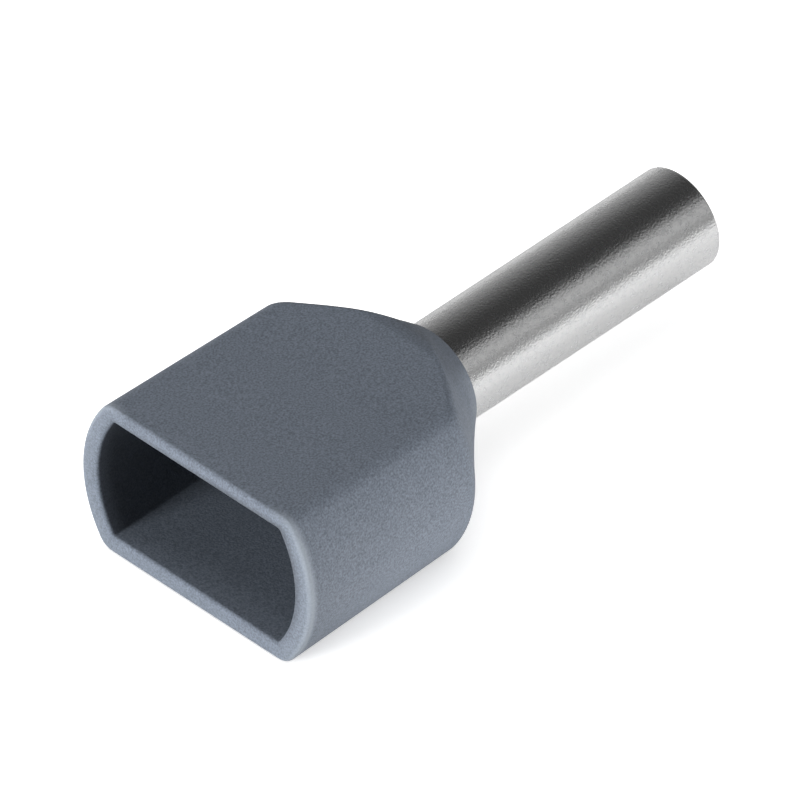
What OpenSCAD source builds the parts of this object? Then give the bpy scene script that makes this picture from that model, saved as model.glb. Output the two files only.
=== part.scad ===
// Insulated wire ferrule with a twin entry: a moulded collar guides two conductors side by side
// into one crimp tube.
// The ferrule lies on a wide face of its collar, with its axis along X and the mouth at the -X end.
// The origin is on the surface it lies on, below the middle of its length.

/* [Collar] */
// Length of the collar from mouth to nose
collar_length = 11.15; // [10.6:0.05:14]
// Length of the sleeve between the mouth and the shoulder
sleeve_length = 7.7; // [5:0.05:9]
// Width of the collar across the mouth
mouth_width = 10.55; // [9:0.05:14]
// Height of the collar across the mouth
mouth_height = 6.2; // [5.8:0.1:8]
// Radius of the bulging narrow sides
side_radius = 5; // [4.2:0.1:9]
// Radius of the four long edges of the sleeve
edge_radius = 0.7; // [0.4:0.05:1.2]
// Radius of the four long edges inside the sleeve
inner_edge_radius = 0.12; // [0.05:0.01:0.4]
// Wall of the sleeve
sleeve_wall = 0.64; // [0.5:0.02:0.8]
// Radius to which the rim of the mouth is rounded, inside and out
rim_radius = 0.15; // [0.05:0.01:0.24]
// Draft of the sleeve, in degrees on each side
draft_angle = 1.2; // [0:0.1:2]

/* [Shoulder] */
// Share of the shoulder over which the narrow sides bend into their slope
side_bend = 0.18; // [0.05:0.01:0.6]
// Slope of the narrow sides at the nose, against their slope where the bend ends
side_ease = 0.78; // [0.5:0.01:1.2]
// Length of slope over which the wide faces blend into the round nose
face_blend = 0.7; // [0.2:0.05:1.5]

/* [Nose and funnel] */
// Wall of the collar round the tube at the nose
nose_wall = 0.23; // [0.15:0.01:0.5]
// Length of the funnel inside the collar that leads to the tube
funnel_length = 2.4; // [1.5:0.1:4]
// Clearance between the tube and its seat in the collar
seat_clearance = 0.01; // [0.005:0.005:0.03]

/* [Tube] */
// Outside diameter of the crimp tube
tube_diameter = 3.75; // [3:0.05:4.2]
// Wall of the crimp tube
tube_wall = 0.2; // [0.12:0.01:0.3]
// Length of tube that stands out of the collar
tube_reach = 11.85; // [6:0.05:18]
// Length of tube held straight inside the nose of the collar
tube_hold = 0.15; // [0.1:0.05:0.3]
// Length of the slender bell mouth into which the tube opens behind that
bell_length = 1.75; // [1.2:0.05:2.2]
// Radius of the bend that forms the bell mouth
bell_radius = 6; // [5:0.5:9]

/* [Hidden] */

overall_length = collar_length + tube_reach;
shoulder_length = collar_length - sleeve_length;
draft = tan(draft_angle);

tube_r = tube_diameter / 2;
bore_r = tube_r - tube_wall;
nose_r = tube_r + nose_wall;

// The bell mouth runs from the straight tube to the entry, where the end face seats in the collar.
bell_end = collar_length - tube_hold;
entry_depth = bell_end - bell_length;
funnel_start = entry_depth - funnel_length;
bell_centre_r = tube_r + bell_radius;
entry_r = bell_centre_r - sqrt(pow(bell_radius + tube_wall, 2) - pow(bell_length, 2));

// Steps along each stretch of the collar, and round each stretch of a quarter of it.
rim_steps = 4;
shoulder_steps = 18;
funnel_steps = 8;
side_steps = 8;
edge_steps = 6;
face_steps = 7;
turn_segments = 96;

collar_grey = [0.42, 0.45, 0.50];
tinned_copper = [0.76, 0.77, 0.78];

// --- cross-sections of the collar ---
// A section is [half width, half height, radius of the bulging sides, radius of the long edges].

// Centres of a section's side arc and edge arc, and the angle at which the one meets the other.
function side_centre(section) = [section[0] - section[2], 0];
function edge_centre(section) =
    let (rise = section[1] - section[3])
    side_centre(section) + [sqrt(max(0, pow(section[2] - section[3], 2) - rise * rise)), rise];
function edge_turn(section) =
    let (reach = edge_centre(section) - side_centre(section)) atan2(reach.y, reach.x);

// A quarter of a section as [y, z] points, from the middle of a side to the middle of a face: the
// bulging side turns up to where the rounded edge takes over, and a flat face follows.
function quarter(section) =
    let (turn = edge_turn(section))
    concat(
        [for (i = [0 : side_steps])
            let (a = turn * i / side_steps)
            side_centre(section) + section[2] * [cos(a), sin(a)]],
        [for (i = [1 : edge_steps])
            let (a = turn + (90 - turn) * i / edge_steps)
            edge_centre(section) + section[3] * [cos(a), sin(a)]],
        [for (i = [1 : face_steps])
            [edge_centre(section).x * (1 - i / face_steps), section[1]]]
    );

// A ring of [x, y, z] points at a depth below the mouth, mirrored from a quarter of a section.
function ring(depth, points) =
    let (last = len(points) - 1)
    concat(
        [for (i = [0 : last - 1]) [depth, points[i].x, points[i].y]],
        [for (i = [last : -1 : 1]) [depth, -points[i].x, points[i].y]],
        [for (i = [0 : last - 1]) [depth, -points[i].x, -points[i].y]],
        [for (i = [last : -1 : 1]) [depth, points[i].x, -points[i].y]]
    );

// --- the sleeve, the shoulder and the funnel ---

// The sleeve's section at a depth below the mouth, with its wall set in.
function sleeve_section(depth, inset) =
    let (shrink = inset + draft * depth)
    [
        mouth_width / 2 - shrink,
        mouth_height / 2 - shrink,
        side_radius - shrink,
        max(edge_radius - inset, inner_edge_radius)
    ];

// Progress from 0 to 1 of a wall whose slope sets in over the first share of its run, and whose
// slope at the end is the given multiple of the slope where it has set in.
function progress(t, share, end_slope) =
    let (
        rest = 1 - share,
        full_slope = 2 / (share + rest * (1 + end_slope))
    )
    t < share
        ? full_slope * t * t / (2 * share)
        : full_slope * (share / 2 + t - share + (end_slope - 1) * pow(t - share, 2) / (2 * rest));

function between(a, b, t) = a + (b - a) * t;

// The lesser of two sizes, with a parabola over the stretch where they differ by under a blend.
function blended_min(a, b, blend) =
    min(a, b) - pow(max(0, blend - abs(a - b)), 2) / (4 * blend);

// Distance from the axis along a ray to the arc with the given centre and radius.
function arc_reach(ray, centre, radius) =
    let (along = ray * centre) along + sqrt(radius * radius - centre * centre + along * along);

// Distance from the axis to a section's wall along the ray that rises at a slope.
function wall_reach(slope, section) =
    let (
        ray = [cos(slope), sin(slope)],
        turn = edge_turn(section),
        side_end = side_centre(section) + section[2] * [cos(turn), sin(turn)],
        face_end = edge_centre(section) + [0, section[3]]
    )
    slope <= atan2(side_end.y, side_end.x)
        ? arc_reach(ray, side_centre(section), section[2])
        : slope < atan2(face_end.y, face_end.x)
            ? arc_reach(ray, edge_centre(section), section[3])
            : section[1] / ray.y;

// Rings that close in from a section of the sleeve to a circle. The bulging sides close in like a
// cone about the axis, and the wide faces stay until the cone cuts them off. The points follow the
// edges of a face while it lasts and end evenly round the circle.
function closing_rings(start, length, section, radius, steps) = [
    for (i = [1 : steps])
        let (
            t = i / steps,
            across = progress(t, side_bend, side_ease),
            half_w = between(section[0], radius, across),
            half_h = blended_min(section[1], half_w, min(face_blend, section[1] - radius)),
            side_r = max(half_h, between(section[2], radius, across)),
            cut = [half_w, half_h, side_r, min(section[3], half_h)],
            evened = pow((section[0] - half_w) / (section[0] - half_h), 5),
            points = quarter(cut),
            last = len(points) - 1
        )
        ring(start + length * t, [
            for (k = [0 : last])
                let (slope = between(atan2(points[k].y, points[k].x), 90 * k / last, evened))
                wall_reach(slope, cut) * [cos(slope), sin(slope)]
        ])
];

// Rings over the inner or the outer half of the rim, from the sleeve's wall to the flat between.
function rim_rings(wall_inset, toward_middle) = [
    for (i = [0 : rim_steps])
        let (a = 90 * i / rim_steps, depth = rim_radius * (1 - sin(a)))
        ring(depth, quarter(sleeve_section(
            depth, wall_inset + toward_middle * rim_radius * (1 - cos(a))
        )))
];

function reversed(list) = [for (i = [len(list) - 1 : -1 : 0]) list[i]];

funnel_section = sleeve_section(funnel_start, sleeve_wall);
shoulder_section = sleeve_section(sleeve_length, 0);

// From the funnel's end out to the rim, over it, and back along the outside to the nose.
collar_rings = concat(
    reversed(closing_rings(funnel_start, funnel_length, funnel_section, entry_r, funnel_steps)),
    [ring(funnel_start, quarter(funnel_section))],
    rim_rings(sleeve_wall, -1),
    reversed(rim_rings(0, 1)),
    [ring(sleeve_length, quarter(shoulder_section))],
    closing_rings(sleeve_length, shoulder_length, shoulder_section, nose_r, shoulder_steps)
);

// A closed solid through rings of equal length, with a flat cap on the first and the last.
module skin(rings) {
    per_ring = len(rings[0]);
    last = len(rings) - 1;
    first_cap = [for (i = [0 : per_ring - 1]) i];
    last_cap = [for (i = [per_ring - 1 : -1 : 0]) last * per_ring + i];
    sides = [
        for (k = [0 : last - 1], i = [0 : per_ring - 1])
            let (
                here = k * per_ring,
                ahead = here + per_ring,
                next = (i + 1) % per_ring
            )
            each [[here + i, ahead + i, ahead + next], [here + i, ahead + next, here + next]]
    ];
    polyhedron(
        points = [for (r = rings) each r],
        faces = concat([first_cap], sides, [last_cap]),
        convexity = 6
    );
}

// --- the tube's outline, as radius and depth below the mouth ---

// Everything within the outside of the tube, grown by a gap.
module tube_outside(gap) {
    translate([0, entry_depth])
        square([tube_r + gap, overall_length - tube_wall / 2 - entry_depth]);
    difference() {
        translate([0, entry_depth]) square([bell_centre_r, bell_length]);
        translate([bell_centre_r, bell_end]) circle(r = bell_radius - gap, $fn = turn_segments);
    }
}

// The tube's bore with its bell mouth.
module tube_bore() {
    translate([0, entry_depth]) square([bore_r, overall_length]);
    difference() {
        translate([0, entry_depth - tube_wall]) square([bell_centre_r, bell_length + tube_wall]);
        translate([bell_centre_r, bell_end]) circle(r = bell_radius + tube_wall, $fn = turn_segments);
    }
}

// Turns an outline of radius and depth about the ferrule's axis.
module turned() {
    rotate([0, 90, 0]) rotate_extrude($fn = turn_segments) children();
}

// Sets the ferrule down on its wide face, with the origin below the middle of its length.
module set_down() {
    translate([-overall_length / 2, 0, mouth_height / 2]) children();
}

// --- the pieces ---

// The moulded collar: its inside and outside are one skin, and the tube's seat is cut from it.
module collar() {
    color(collar_grey)
        set_down()
            difference() {
                skin(collar_rings);
                turned() tube_outside(seat_clearance);
            }
}

// The drawn crimp tube, with a bell mouth inside the collar and a rounded lip at its free end.
module tube() {
    color(tinned_copper)
        set_down()
            turned() {
                difference() {
                    tube_outside(0);
                    tube_bore();
                }
                translate([tube_r - tube_wall / 2, overall_length - tube_wall / 2])
                    circle(d = tube_wall, $fn = turn_segments);
            }
}

collar();
tube();
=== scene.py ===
"""Twin-entry wire ferrule: a moulded grey collar on a tinned crimp tube."""

import math

import bmesh
import bpy
from mathutils import Matrix, Vector


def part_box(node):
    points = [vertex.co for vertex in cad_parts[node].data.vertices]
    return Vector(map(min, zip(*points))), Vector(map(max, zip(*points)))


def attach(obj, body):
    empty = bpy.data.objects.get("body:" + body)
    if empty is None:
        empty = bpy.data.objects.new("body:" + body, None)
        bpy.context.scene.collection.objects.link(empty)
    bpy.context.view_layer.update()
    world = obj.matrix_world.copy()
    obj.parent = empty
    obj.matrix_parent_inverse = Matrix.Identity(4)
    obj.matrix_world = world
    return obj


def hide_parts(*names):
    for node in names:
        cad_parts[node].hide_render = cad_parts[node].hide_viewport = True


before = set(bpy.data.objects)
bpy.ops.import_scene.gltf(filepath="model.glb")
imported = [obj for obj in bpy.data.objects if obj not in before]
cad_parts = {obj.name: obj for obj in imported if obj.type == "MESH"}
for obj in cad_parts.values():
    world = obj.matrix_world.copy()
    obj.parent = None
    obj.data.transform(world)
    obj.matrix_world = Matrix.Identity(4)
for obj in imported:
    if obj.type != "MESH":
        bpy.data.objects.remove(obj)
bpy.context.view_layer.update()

# --- Tube ---------------------------------------------------------------------------------------
# The crimp tube is drawn from thin copper and plated with tin. Its free end is sheared off and
# lightly rounded, and the end inside the collar is flared into a slender bell mouth.

MM = 0.001

collar_low, collar_high = (Vector(corner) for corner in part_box("collar"))
tube_low, tube_high = (Vector(corner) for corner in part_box("tube"))
mouth_x, nose_x = collar_low.x, collar_high.x
axis_z = (collar_low.z + collar_high.z) / 2

tube_radius = 1.875 * MM
tube_wall = 0.2 * MM
tube_hold = 0.15 * MM
bell_bend = 6 * MM
bell_end = nose_x - tube_hold
bell_length = bell_end - tube_low.x
bell_rim = tube_radius + bell_bend
lip_radius = tube_wall / 2
lip_squareness = 0.5
tube_sides = 192
bell_steps = 12
lip_steps = 10


def circle(x, radius, count):
    """Points round the ferrule's axis at one place along it."""
    turns = (2 * math.pi * i / count for i in range(count))
    return [Vector((x, radius * math.cos(a), axis_z + radius * math.sin(a))) for a in turns]


def bell_radius_at(x, bend):
    """Radius of the flare at a place inside the collar, for the outer or the inner bend."""
    return bell_rim - math.sqrt(bend**2 - max(0.0, bell_end - x) ** 2)


def skin(name, rings, sharp_rings=()):
    """A closed mesh through rings of equal length, of which the last joins the first."""
    form = bmesh.new()
    rows = [[form.verts.new(point) for point in ring] for ring in rings]
    count = len(rows[0])
    for k, row in enumerate(rows):
        ahead = rows[(k + 1) % len(rows)]
        for i in range(count):
            j = (i + 1) % count
            form.faces.new((row[i], ahead[i], ahead[j], row[j])).smooth = True
    for k in sharp_rings:
        for i in range(count):
            form.edges.get((rows[k][i], rows[k][(i + 1) % count])).smooth = False
    bmesh.ops.recalc_face_normals(form, faces=form.faces)
    mesh = bpy.data.meshes.new(name)
    form.to_mesh(mesh)
    form.free()
    piece = bpy.data.objects.new(name, mesh)
    bpy.context.scene.collection.objects.link(piece)
    return piece


def lip_place(a):
    """Place along the axis and radius on the lip, at an angle from its outside to its inside.

    The lip is a half round whose sine and cosine are raised to a power, which makes it squarer.
    """
    ahead = math.sin(a) ** lip_squareness
    outward = math.copysign(abs(math.cos(a)) ** lip_squareness, math.cos(a))
    return lip_x + lip_radius * ahead, tube_radius - lip_radius + lip_radius * outward


bell_places = [bell_end - bell_length * i / bell_steps for i in range(bell_steps + 1)]
lip_x = tube_high.x - lip_radius
lip_turns = [math.pi * i / lip_steps for i in range(lip_steps + 1)]
tube_rings = (
    [circle(x, bell_radius_at(x, bell_bend), tube_sides) for x in reversed(bell_places)]
    + [circle(*lip_place(a), tube_sides) for a in lip_turns]
    + [circle(x, bell_radius_at(x, bell_bend + tube_wall), tube_sides) for x in bell_places]
)
tube = skin("crimp_tube", tube_rings, sharp_rings=(0, len(tube_rings) - 1))


def add_node(tree, kind, inputs=None, **settings):
    """A node with its settings, and with values or sockets put on its named inputs."""
    made = tree.nodes.new(kind)
    for key, value in settings.items():
        setattr(made, key, value)
    for key, value in (inputs or {}).items():
        if isinstance(value, bpy.types.NodeSocket):
            tree.links.new(value, made.inputs[key])
        else:
            made.inputs[key].default_value = value
    return made


# Fine grain of a surface: a small even speckle, and soft clouds several times its size. Both are
# noise between 0 and 1, mostly within the usual range, and drawn out along the ferrule by the
# lengthwise factor.
usual_noise = 0.3, 0.7
grain = bpy.data.node_groups.new("surface_grain", "ShaderNodeTree")
for socket, kind, value in (
    ("Speckle Size", "NodeSocketFloat", 0.1 * MM),
    ("Cloud Size", "NodeSocketFloat", 1 * MM),
    ("Lengthwise", "NodeSocketFloat", 1.0),
):
    grain.interface.new_socket(socket, in_out="INPUT", socket_type=kind).default_value = value
for socket in ("Speckle", "Clouds"):
    grain.interface.new_socket(socket, in_out="OUTPUT", socket_type="NodeSocketFloat")
grain_in = add_node(grain, "NodeGroupInput")
grain_out = add_node(grain, "NodeGroupOutput")
place = add_node(grain, "ShaderNodeTexCoord").outputs["Object"]
drawn_out = add_node(grain, "ShaderNodeCombineXYZ", {"Y": 1.0, "Z": 1.0})
shorten = add_node(
    grain, "ShaderNodeMath", {0: 1.0, 1: grain_in.outputs["Lengthwise"]}, operation="DIVIDE"
)
grain.links.new(shorten.outputs[0], drawn_out.inputs["X"])
drawn_place = add_node(
    grain, "ShaderNodeVectorMath", {0: place, 1: drawn_out.outputs[0]}, operation="MULTIPLY"
)
for output, size, detail in (("Speckle", "Speckle Size", 2.0), ("Clouds", "Cloud Size", 3.0)):
    scale = add_node(
        grain, "ShaderNodeMath", {0: 1.0, 1: grain_in.outputs[size]}, operation="DIVIDE"
    )
    noise = add_node(
        grain,
        "ShaderNodeTexNoise",
        {"Vector": drawn_place.outputs[0], "Scale": scale.outputs[0], "Detail": detail},
    )
    grain.links.new(noise.outputs["Fac"], grain_out.inputs[output])


def mix_colours(tree, mask, first, second):
    """A colour that goes from the first to the second, by a mask. Either may be a node's socket."""
    mix = add_node(
        tree, "ShaderNodeMix", {"Factor": mask, "A": first, "B": second}, data_type="RGBA"
    )
    return mix.outputs["Result"]


def spread(tree, mask, low, high, to_low, to_high):
    """A mask stretched from one range to another."""
    ranged = add_node(
        tree,
        "ShaderNodeMapRange",
        {"Value": mask, "From Min": low, "From Max": high, "To Min": to_low, "To Max": to_high},
    )
    return ranged.outputs["Result"]


def new_material(name):
    """A material with its tree cleared to one Principled BSDF and its output."""
    material = bpy.data.materials.new(name)
    material.use_nodes = True
    tree = material.node_tree
    tree.nodes.clear()
    surface = add_node(tree, "ShaderNodeBsdfPrincipled")
    add_node(tree, "ShaderNodeOutputMaterial", {"Surface": surface.outputs[0]})
    return material, tree, surface


# Satin tin: a fine mottle, a little longer along the tube, with duller and rougher patches where
# the plating is thinner.
tin_dull, tin_clear = (0.745, 0.750, 0.755, 1), (0.785, 0.785, 0.785, 1)
tin_rough, tin_smooth = 0.29, 0.23
thin_plating = 0.35, 0.6

tin, tin_tree, tin_surface = new_material("satin_tin")
tin_surface.inputs["Metallic"].default_value = 1.0
mottle = add_node(
    tin_tree,
    "ShaderNodeGroup",
    {"Speckle Size": 0.075 * MM, "Cloud Size": 0.2 * MM, "Lengthwise": 1.1},
    node_tree=grain,
)
tin_patches = spread(tin_tree, mottle.outputs["Clouds"], *thin_plating, 0.0, 1.0)
tin_colour = mix_colours(tin_tree, tin_patches, tin_dull, tin_clear)
tin_tree.links.new(tin_colour, tin_surface.inputs["Base Color"])
tin_sheen = spread(tin_tree, mottle.outputs["Clouds"], *usual_noise, tin_rough, tin_smooth)
tin_tree.links.new(tin_sheen, tin_surface.inputs["Roughness"])
tin_bump = add_node(
    tin_tree,
    "ShaderNodeBump",
    {"Height": mottle.outputs["Speckle"], "Strength": 1.0, "Distance": 0.011 * MM},
)
tin_tree.links.new(tin_bump.outputs["Normal"], tin_surface.inputs["Normal"])
tube.data.materials.append(tin)

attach(tube, "root")
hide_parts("tube")

# --- Collar -------------------------------------------------------------------------------------
# The collar is one moulding of matt grey polypropylene. Its oblong mouth takes two insulated
# conductors. Its shoulder closes in like a cone, which the two wide flats cut off, down to the
# round nose, and a funnel inside leads the strands into the tube.

mouth_half_width = (collar_high.y - collar_low.y) / 2
mouth_half_height = (collar_high.z - collar_low.z) / 2
collar_length = nose_x - mouth_x
sleeve_length = 7.7 * MM
side_radius = 5 * MM
edge_radius = 0.7 * MM
inner_edge_radius = 0.12 * MM
sleeve_wall = 0.64 * MM
rim_outer_radius = 0.16 * MM
rim_inner_radius = 0.12 * MM
side_wall_more = 0.10 * MM
core_rise = 0.08 * MM
draft = math.tan(math.radians(1.2))
side_bend = 0.18
side_ease = 0.78
face_blend = 0.7 * MM
evening_power = 5
nose_radius = tube_radius + 0.23 * MM
nose_round = 0.08 * MM
nose_turn = math.radians(50)
nose_set_in = 0.47 * nose_round
funnel_length = 2.4 * MM
seat_clearance = 0.01 * MM
entry_depth = collar_length - tube_hold - bell_length
funnel_start = entry_depth - funnel_length
entry_radius = bell_radius_at(tube_low.x, bell_bend + tube_wall)

side_steps, edge_steps, face_steps = 26, 14, 26
rim_steps, sleeve_steps, shoulder_steps, funnel_steps, nose_steps = 8, 6, 72, 24, 4


def between(a, b, t):
    """The value at a share of the way from one to another."""
    return a + (b - a) * t


def edge_centre(section):
    """Centre of the arc that rounds a long edge of a section."""
    half_w, half_h, side_r, edge_r = section
    rise = half_h - edge_r
    run = math.sqrt(max(0.0, (side_r - edge_r) ** 2 - rise**2))
    return half_w - side_r + run, rise


def edge_turn(section):
    """Angle at which the bulging side meets the arc of the edge."""
    y, z = edge_centre(section)
    return math.atan2(z, y - (section[0] - section[2]))


def quarter(section):
    """Points from the middle of a bulging side, round the edge, to the middle of a flat face."""
    half_w, half_h, side_r, edge_r = section
    side_y = half_w - side_r
    edge_y, edge_z = edge_centre(section)
    turn = edge_turn(section)
    points = []
    for i in range(side_steps + 1):
        a = turn * i / side_steps
        points.append((side_y + side_r * math.cos(a), side_r * math.sin(a)))
    for i in range(1, edge_steps + 1):
        a = between(turn, math.pi / 2, i / edge_steps)
        points.append((edge_y + edge_r * math.cos(a), edge_z + edge_r * math.sin(a)))
    for i in range(1, face_steps + 1):
        points.append((edge_y * (1 - i / face_steps), half_h))
    return points


def wall_reach(slope, section):
    """Distance from the axis to a section's wall along a ray."""
    half_w, half_h, side_r, edge_r = section
    edge_y, edge_z = edge_centre(section)
    side_y = half_w - side_r
    turn = edge_turn(section)
    side_end = math.atan2(side_r * math.sin(turn), side_y + side_r * math.cos(turn))

    def arc(y, z, radius):
        along = y * math.cos(slope) + z * math.sin(slope)
        return along + math.sqrt(radius**2 - y**2 - z**2 + along**2)

    if slope <= side_end:
        return arc(side_y, 0, side_r)
    if slope < math.atan2(half_h, edge_y):
        return arc(edge_y, edge_z, edge_r)
    return half_h / math.sin(slope)


def ring(depth, points):
    """A whole ring at a depth below the mouth, mirrored from the points of a quarter."""
    last = len(points) - 1
    whole = (
        [(y, z) for y, z in points[:last]]
        + [(-y, z) for y, z in points[:0:-1]]
        + [(-y, -z) for y, z in points[:last]]
        + [(y, -z) for y, z in points[:0:-1]]
    )
    return [Vector((mouth_x + depth, y, axis_z + z)) for y, z in whole]


def round_ring(depth, radius):
    """A ring that is a circle, with as many points as the rings of the sleeve."""
    count = side_steps + edge_steps + face_steps
    turns = [math.pi / 2 * i / count for i in range(count + 1)]
    return ring(depth, [(radius * math.cos(a), radius * math.sin(a)) for a in turns])


def sleeve_section(depth, inset):
    """The drafted sleeve's section at a depth, with its wall set in."""
    shrink = inset + draft * depth
    return (
        mouth_half_width - shrink,
        mouth_half_height - shrink,
        side_radius - shrink,
        max(edge_radius - inset, inner_edge_radius),
    )


def progress(t, share, end_slope):
    """0 to 1 for a wall whose slope sets in over the first share of its run, then eases."""
    rest = 1 - share
    full = 2 / (share + rest * (1 + end_slope))
    if t < share:
        return full * t * t / (2 * share)
    return full * (share / 2 + t - share + (end_slope - 1) * (t - share) ** 2 / (2 * rest))


def blended_min(a, b, blend):
    """The lesser of two sizes, with a soft change over where they differ by under the blend."""
    return min(a, b) - max(0.0, blend - abs(a - b)) ** 2 / (4 * blend)


def closing_rings(start, length, section, radius, steps):
    """Rings from an oblong section to a circle, as a cone that the flats cut off."""
    rings = []
    for i in range(1, steps + 1):
        t = i / steps
        across = progress(t, side_bend, side_ease)
        half_w = between(section[0], radius, across)
        half_h = blended_min(section[1], half_w, min(face_blend, section[1] - radius))
        side_r = max(half_h, between(section[2], radius, across))
        cut = (half_w, half_h, side_r, min(section[3], half_h))
        evened = ((section[0] - half_w) / (section[0] - half_h)) ** evening_power
        points = quarter(cut)
        ends = []
        for k, (y, z) in enumerate(points):
            even = math.pi / 2 * k / (len(points) - 1)
            slope = between(math.atan2(z, y), even, evened)
            reach = wall_reach(slope, cut)
            ends.append((reach * math.cos(slope), reach * math.sin(slope)))
        rings.append(ring(start + length * t, ends))
    return rings


def rim_rings(wall_inset, radius, toward_middle):
    """Rings over the inner or the outer half of the rounded rim, from the wall outward."""
    rings = []
    for i in range(rim_steps + 1):
        a = math.pi / 2 * i / rim_steps
        depth = radius * (1 - math.sin(a))
        inset = wall_inset + toward_middle * radius * (1 - math.cos(a))
        rings.append(ring(depth, quarter(sleeve_section(depth, inset))))
    return rings


inner_start = sleeve_section(funnel_start, sleeve_wall)
outer_start = sleeve_section(sleeve_length, 0)
shoulder_length = collar_length - sleeve_length
seat_rings = [
    round_ring(x - mouth_x, bell_radius_at(x, bell_bend) + seat_clearance)
    for x in [nose_x, *bell_places]
]
funnel_rings = closing_rings(funnel_start, funnel_length, inner_start, entry_radius, funnel_steps)
# Rings stand closer near the rim, so that its rounding stays crisp beside the long plain walls.
inside_depths = [
    *(between(funnel_start, 2 * rim_inner_radius, i / sleeve_steps) for i in range(sleeve_steps)),
    1.3 * rim_inner_radius,
]
outside_depths = [
    *(times * rim_outer_radius for times in (1.5, 2.0, 2.8)),
    *(
        between(rim_outer_radius, sleeve_length, i / sleeve_steps)
        for i in range(1, sleeve_steps + 1)
    ),
]
inside_rings = (
    funnel_rings[::-1]
    + [ring(depth, quarter(sleeve_section(depth, sleeve_wall))) for depth in inside_depths]
    + rim_rings(sleeve_wall, rim_inner_radius, -1)
)
# Toward the mouth the core that forms the inside stands a little high, and leaves the bulging
# sides a little more wall than the flats.
for inside_ring in inside_rings:
    out = max(0.0, 1 - (inside_ring[0].x - mouth_x) / funnel_start)
    for point in inside_ring:
        point.y -= out * side_wall_more * point.y / mouth_half_width
        point.z += out * core_rise

nose_rings = [
    round_ring(
        collar_length - nose_round * (1 - math.cos(a)),
        nose_radius - nose_set_in + nose_round * math.sin(a),
    )
    for a in (nose_turn * (1 - i / nose_steps) for i in range(nose_steps + 1))
]
outside_rings = (
    rim_rings(0, rim_outer_radius, 1)[::-1]
    + [ring(depth, quarter(sleeve_section(depth, 0))) for depth in outside_depths]
    + closing_rings(sleeve_length, shoulder_length, outer_start, nose_radius, shoulder_steps)[:-1]
    + nose_rings
)
collar_rings = seat_rings + inside_rings + outside_rings
collar = skin(
    "collar_moulding",
    collar_rings,
    sharp_rings=(0, len(seat_rings) - 1, len(seat_rings), len(collar_rings) - 1),
)

# Two masks on the collar's points, which are painted light and shade. The pale one is a painted
# highlight on the outer rounding of the rim along the bulging sides, with a trace of it at the
# sides of the nose. The dark one is painted shade: it darkens the rim toward its inner edge, the
# side walls and the deep part of the inside, and the top and the bottom of the cone.
outside_start, ring_size = len(seat_rings + inside_rings), len(seat_rings[0])
rim_first, rim_last = outside_start - rim_steps - 1, outside_start + rim_steps
rim_highlight_least, rim_highlight_more, highlight_past_rim = 0.1, 0.5, (0.5, 0.25)
rim_shade_least = 0.2
inside_shade, inside_side, inside_side_fade = 0.75, 0.70, 0.02
deep_start, deep_fade = 3 * MM, 2.5 * MM
cone_shade, cone_low_degrees, cone_fade_degrees, cone_drop = 0.52, 25, 25, 0.15 * MM
cone_start, cone_start_fade = 0.35, 0.2
nose_highlight, nose_highlight_start, nose_highlight_fade = 0.15, 0.7, 0.25
side_start, side_fade = 0.6, 0.3


def clamp(value):
    """A value held between 0 and 1."""
    return min(1.0, max(0.0, value))


def rim_painted_light(k, across, height):
    """Painted highlight and painted shade on the rim and just past it, by ring and by place across
    the mouth.

    The painted shade is stronger toward the top and toward the near side, so the rim isn't alike on
    its two sides.
    """
    if k < outside_start:
        a = math.pi / 2 * (k - rim_first) / rim_steps
        inset = sleeve_wall - rim_inner_radius * (1 - math.cos(a))
        highlight_level = 0.0
    elif k <= rim_last:
        a = math.pi / 2 * (rim_last - k) / rim_steps
        inset = rim_outer_radius * (1 - math.cos(a))
        highlight_level = rim_highlight_least + rim_highlight_more * math.cos(a)
    else:
        inset = 0.0
        highlight_level = highlight_past_rim[k - rim_last - 1]
    side = clamp((abs(across) / mouth_half_width - side_start) / side_fade)
    facing = 0.5 + 0.5 * height / mouth_half_height - 0.5 * across / mouth_half_width
    inward = max(0.0, (inset - rim_outer_radius) / (sleeve_wall - rim_outer_radius))
    return side * highlight_level, min(1.0, max(rim_shade_least, facing)) * inward


def inside_painted_shade(across, depth):
    """No painted highlight inside, and painted shade on the walls: the bulging sides, and all round
    further in.
    """
    on_side = (abs(across) / mouth_half_width - inside_side) / inside_side_fade
    return 0.0, inside_shade * clamp(max(on_side, (depth - deep_start) / deep_fade))


def shoulder_painted_light(across, height, depth):
    """Painted highlight and painted shade outside, past the rim: only the cone of the shoulder has
    any.
    """
    along = (depth - sleeve_length) / shoulder_length
    turn = math.degrees(math.atan2(abs(height), abs(across)))
    up = clamp((turn - cone_low_degrees) / cone_fade_degrees)
    cut = clamp((outer_start[1] - abs(height)) / cone_drop)
    cone = cut * clamp((along - cone_start) / cone_start_fade)
    nose = clamp((along - nose_highlight_start) / nose_highlight_fade)
    return nose_highlight * (1 - up) * nose, cone_shade * up * cone


# Painted highlight and painted shade, kept on the collar's points.
painted_highlight = collar.data.attributes.new("painted_highlight", "FLOAT", "POINT")
painted_shade = collar.data.attributes.new("painted_shade", "FLOAT", "POINT")
for vertex in collar.data.vertices:
    k = vertex.index // ring_size
    across, height, depth = vertex.co.y, vertex.co.z - axis_z, vertex.co.x - mouth_x
    if k < len(seat_rings):
        levels = 0.0, 0.0
    elif k < rim_first:
        levels = inside_painted_shade(across, depth)
    elif k <= rim_last + len(highlight_past_rim):
        levels = rim_painted_light(k, across, height)
    else:
        levels = shoulder_painted_light(across, height, depth)
    painted_highlight.data[vertex.index].value, painted_shade.data[vertex.index].value = levels

# Matt moulded plastic: an even speckle from the mould's spark-eroded face, and faint clouds.
speckle_dark, speckle_light = (0.106, 0.123, 0.151, 1), (0.204, 0.235, 0.284, 1)
# A paler grey for the painted highlight, and near black for the painted shade.
highlight_grey, shade_grey = (0.41, 0.455, 0.51, 1), (0.03, 0.03, 0.035, 1)
shade_onset, shade_most = 0.25, 0.65

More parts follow.
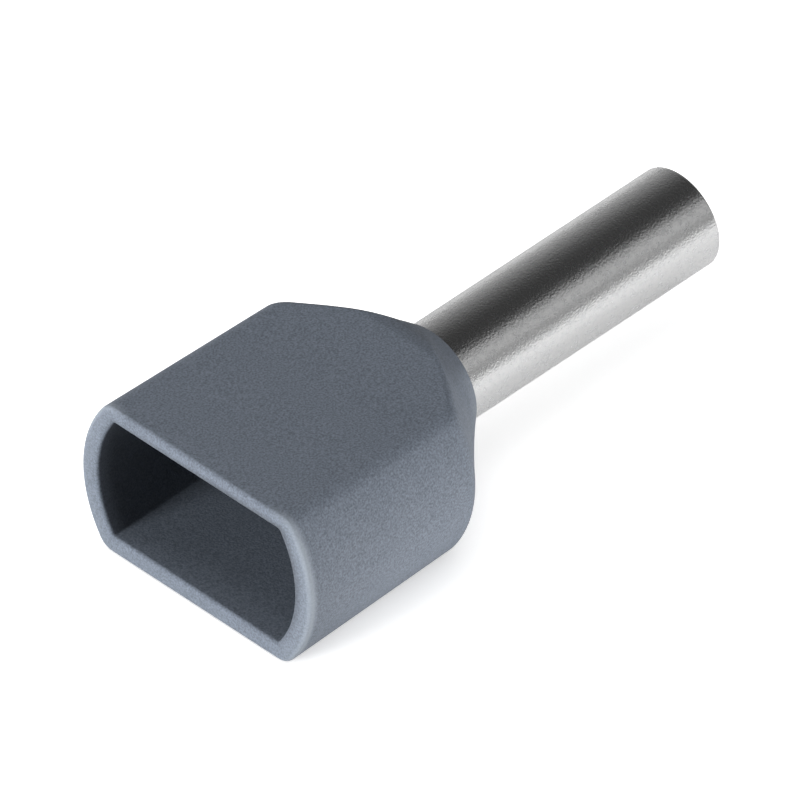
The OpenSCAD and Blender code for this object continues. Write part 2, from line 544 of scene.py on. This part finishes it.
plastic, plastic_tree, plastic_surface = new_material("matt_grey_plastic")
texture = add_node(
    plastic_tree,
    "ShaderNodeGroup",
    {"Speckle Size": 0.07 * MM, "Cloud Size": 1.2 * MM, "Lengthwise": 1.0},
    node_tree=grain,
)
speckle_mask = spread(plastic_tree, texture.outputs["Speckle"], *usual_noise, 0.0, 1.0)
speckle_tint = mix_colours(plastic_tree, speckle_mask, speckle_dark, speckle_light)
# The pale mask lays a painted highlight over the speckle.
highlight_mask = add_node(plastic_tree, "ShaderNodeAttribute", attribute_name="painted_highlight").outputs["Fac"]
highlight_tint = mix_colours(plastic_tree, highlight_mask, speckle_tint, highlight_grey)
# The dark mask lays painted shade in near black.
shade_place = add_node(plastic_tree, "ShaderNodeAttribute", attribute_name="painted_shade").outputs["Fac"]
shade_mask = spread(plastic_tree, shade_place, shade_onset, 1.0, 0.0, shade_most)
shade_tint = mix_colours(plastic_tree, shade_mask, highlight_tint, shade_grey)
plastic_tree.links.new(shade_tint, plastic_surface.inputs["Base Color"])
plastic_matt = spread(plastic_tree, texture.outputs["Clouds"], *usual_noise, 0.55, 0.65)
plastic_tree.links.new(plastic_matt, plastic_surface.inputs["Roughness"])
plastic_bump = add_node(
    plastic_tree,
    "ShaderNodeBump",
    {"Height": texture.outputs["Speckle"], "Strength": 0.6, "Distance": 0.012 * MM},
)
plastic_tree.links.new(plastic_bump.outputs["Normal"], plastic_surface.inputs["Normal"])
collar.data.materials.append(plastic)

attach(collar, "root")
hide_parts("collar")

# --- Table and room -----------------------------------------------------------------------------
# A pale table top that looks white, with the ferrule's soft shadow, in a room whose walls darken
# toward the ceiling. The walls and the table's glow show in reflections and give little light, so
# that the lamps, and one glowing strip of the table, shape the collar.

scene = bpy.context.scene
scene.view_settings.view_transform = "Standard"

table_half = 2.0
white, pale_grey, dim_grey = (1, 1, 1, 1), (0.85, 0.85, 0.85, 1), (0.3, 0.3, 0.3, 1)
top = bmesh.new()
bmesh.ops.create_grid(top, x_segments=1, y_segments=1, size=table_half)
table_mesh = bpy.data.meshes.new("table_top")
top.to_mesh(table_mesh)
top.free()
table_top = bpy.data.objects.new("table_top", table_mesh)
table_top.location.z = min(collar_low.z, tube_low.z)
scene.collection.objects.link(table_top)


def mix_shaders(tree, share, first, second):
    """The first shader where the share is 0, and the second where it is 1."""
    inputs = {0: share, 1: first.outputs[0], 2: second.outputs[0]}
    return add_node(tree, "ShaderNodeMixShader", inputs)


def calculate(tree, operation, first, second):
    """The result of one sum on two values or sockets."""
    sum_node = add_node(tree, "ShaderNodeMath", {0: first, 1: second}, operation=operation)
    return sum_node.outputs[0]


# Looked at, the paper is white. In the tin its glow is dimmer, with painted shade that deepens
# toward the far side of the tube. In both, a painted shadow darkens its glow close to the ferrule.
near_y, far_y, near_glow, far_glow = -6 * MM, 6 * MM, 0.42, 0.15
shadow_reach = 8 * MM
shadow_looked_at, shadow_in_tin = 0.35, 0.85
# It throws little light on the collar, but for a strip along the near side that glows for bounced
# light only, like a reflector laid on the table.
strip_x, strip_x_fade, strip_y, strip_y_fade = mouth_x, 4 * MM, -7 * MM, 3 * MM
plain_light, strip_light = 0.03, 1.3

paper = bpy.data.materials.new("pale_paper")
paper.use_nodes = True
paper_tree = paper.node_tree
paper_tree.nodes.clear()
ray = add_node(paper_tree, "ShaderNodeLightPath").outputs
contact = add_node(paper_tree, "ShaderNodeAmbientOcclusion", {"Distance": shadow_reach})
paper_point = add_node(paper_tree, "ShaderNodeNewGeometry").outputs["Position"]
paper_place = add_node(paper_tree, "ShaderNodeSeparateXYZ", {"Vector": paper_point}).outputs
tin_glow = spread(paper_tree, paper_place["Y"], near_y, far_y, near_glow, far_glow)
full_glow = spread(paper_tree, ray["Is Camera Ray"], 0.0, 1.0, tin_glow, 1.0)
shadow = spread(paper_tree, ray["Is Camera Ray"], 0.0, 1.0, shadow_in_tin, shadow_looked_at)
shaded = spread(paper_tree, contact.outputs["AO"], 0.0, 1.0, shadow, 1.0)
glow = calculate(paper_tree, "MULTIPLY", full_glow, shaded)
paper_light = add_node(paper_tree, "ShaderNodeEmission", {"Color": white, "Strength": glow})
paper_seen = add_node(paper_tree, "ShaderNodeBsdfDiffuse", {"Color": pale_grey})
strip = calculate(
    paper_tree,
    "MULTIPLY",
    spread(paper_tree, paper_place["X"], strip_x, strip_x + strip_x_fade, 0.0, 1.0),
    spread(paper_tree, paper_place["Y"], strip_y, strip_y + strip_y_fade, 1.0, 0.0),
)
strip_glow = spread(paper_tree, strip, 0.0, 1.0, plain_light, strip_light)
paper_glow = add_node(paper_tree, "ShaderNodeEmission", {"Color": white, "Strength": strip_glow})
paper_bounce = add_node(paper_tree, "ShaderNodeBsdfDiffuse", {"Color": dim_grey})
paper_bright, paper_dim = (
    add_node(paper_tree, "ShaderNodeAddShader", {0: glowing.outputs[0], 1: matt.outputs[0]})
    for glowing, matt in ((paper_light, paper_seen), (paper_glow, paper_bounce))
)
looked_at = calculate(paper_tree, "MAXIMUM", ray["Is Camera Ray"], ray["Is Glossy Ray"])
paper_mix = mix_shaders(paper_tree, looked_at, paper_dim, paper_bright)
add_node(paper_tree, "ShaderNodeOutputMaterial", {"Surface": paper_mix.outputs[0]})
table_top.data.materials.append(paper)

# The walls by height, from the table's level to the ceiling. On the far side each level of light
# reaches higher.
wall_levels = ((0.0, 0.42), (0.2, 0.28), (0.44, 0.15), (0.6, 0.07), (0.85, 0.037))
far_side_start, far_side_end, far_side_rise = 0.1, 0.5, 0.13
gloom_strength = 0.05

room = bpy.data.worlds.new("room")
scene.world = room
room.use_nodes = True
room_tree = room.node_tree
room_tree.nodes.clear()
direction = add_node(room_tree, "ShaderNodeTexCoord").outputs["Generated"]
heading = add_node(room_tree, "ShaderNodeSeparateXYZ", {"Vector": direction}).outputs
rise = spread(room_tree, heading["Y"], far_side_start, far_side_end, 0.0, far_side_rise)
wall_height = calculate(room_tree, "SUBTRACT", heading["Z"], rise)
room_walls = add_node(room_tree, "ShaderNodeValToRGB", {"Fac": wall_height})
ramp = room_walls.color_ramp
for at, level in wall_levels:
    stop = ramp.elements[0] if at == 0.0 else ramp.elements.new(at)
    stop.position = at
    stop.color = (level, level, level, 1)
ramp.elements[-1].color = ramp.elements[-2].color
wall_colour = room_walls.outputs[0]
walls = add_node(room_tree, "ShaderNodeBackground", {"Color": wall_colour})
gloom = add_node(
    room_tree, "ShaderNodeBackground", {"Color": wall_colour, "Strength": gloom_strength}
)
backdrop = add_node(room_tree, "ShaderNodeBackground", {"Color": white})
room_ray = add_node(room_tree, "ShaderNodeLightPath").outputs
room_mix = mix_shaders(room_tree, room_ray["Is Glossy Ray"], gloom, walls)
room_seen = mix_shaders(room_tree, room_ray["Is Camera Ray"], room_mix, backdrop)
add_node(room_tree, "ShaderNodeOutputWorld", {"Surface": room_seen.outputs[0]})

# --- Lamps --------------------------------------------------------------------------------------
# Square soft lamps stand round the ferrule, two low ones at the mouth and at the near side, and
# weaker ones above and behind. None shows in reflections but the faint panel.

middle = Vector((0, 0, axis_z))
lamp_distance = 0.30


def soft_lamp(name, toward, size, power, reflected):
    """A square soft lamp that faces the ferrule from one side."""
    light = bpy.data.lights.new(name, "AREA")
    light.shape = "SQUARE"
    light.size = size
    light.energy = power
    lamp = bpy.data.objects.new(name, light)
    way = Vector(toward).normalized()
    lamp.location = middle + way * lamp_distance
    lamp.rotation_mode = "QUATERNION"
    lamp.rotation_quaternion = way.to_track_quat("Z", "Y")
    lamp.visible_camera = False
    lamp.visible_glossy = reflected
    scene.collection.objects.link(lamp)


soft_lamp("left_lamp", toward=(-0.97, 0.20, 0.12), size=0.12, power=1.66, reflected=False)
soft_lamp("right_lamp", toward=(0.05, -0.97, 0.15), size=0.10, power=0.62, reflected=False)
soft_lamp("top_lamp", toward=(0.05, 0.05, 1.0), size=0.20, power=0.21, reflected=False)
soft_lamp("back_lamp", toward=(0.0, 0.75, 0.66), size=0.20, power=0.25, reflected=False)
soft_lamp("tube_panel", toward=(0.55, -0.64, 0.54), size=0.15, power=0.03, reflected=True)

# --- Camera -------------------------------------------------------------------------------------
# A long lens, over the mouth and to one side, so that both the mouth and the tube show.

azimuth, elevation, roll = (math.radians(v) for v in (-46.301, 40.459, 0.865))
camera_distance = 1.2
aim_right, aim_up = -1.278 * MM, -0.828 * MM
camera_data = bpy.data.cameras.new("camera")
camera_data.lens = 1631.5
camera_data.sensor_width = 36
camera_data.clip_end = 10
camera = bpy.data.objects.new("camera", camera_data)
forward = Vector(
    (
        -math.sin(azimuth) * math.cos(elevation),
        math.cos(azimuth) * math.cos(elevation),
        -math.sin(elevation),
    )
)
level_right = Vector((math.cos(azimuth), math.sin(azimuth), 0))
level_up = level_right.cross(forward)
right = math.cos(roll) * level_right + math.sin(roll) * level_up
up = math.cos(roll) * level_up - math.sin(roll) * level_right
spot = middle - camera_distance * forward + aim_right * right + aim_up * up
turned = Matrix((right, up, -forward)).transposed().to_4x4()
camera.matrix_world = Matrix.Translation(spot) @ turned
scene.collection.objects.link(camera)
scene.camera = camera
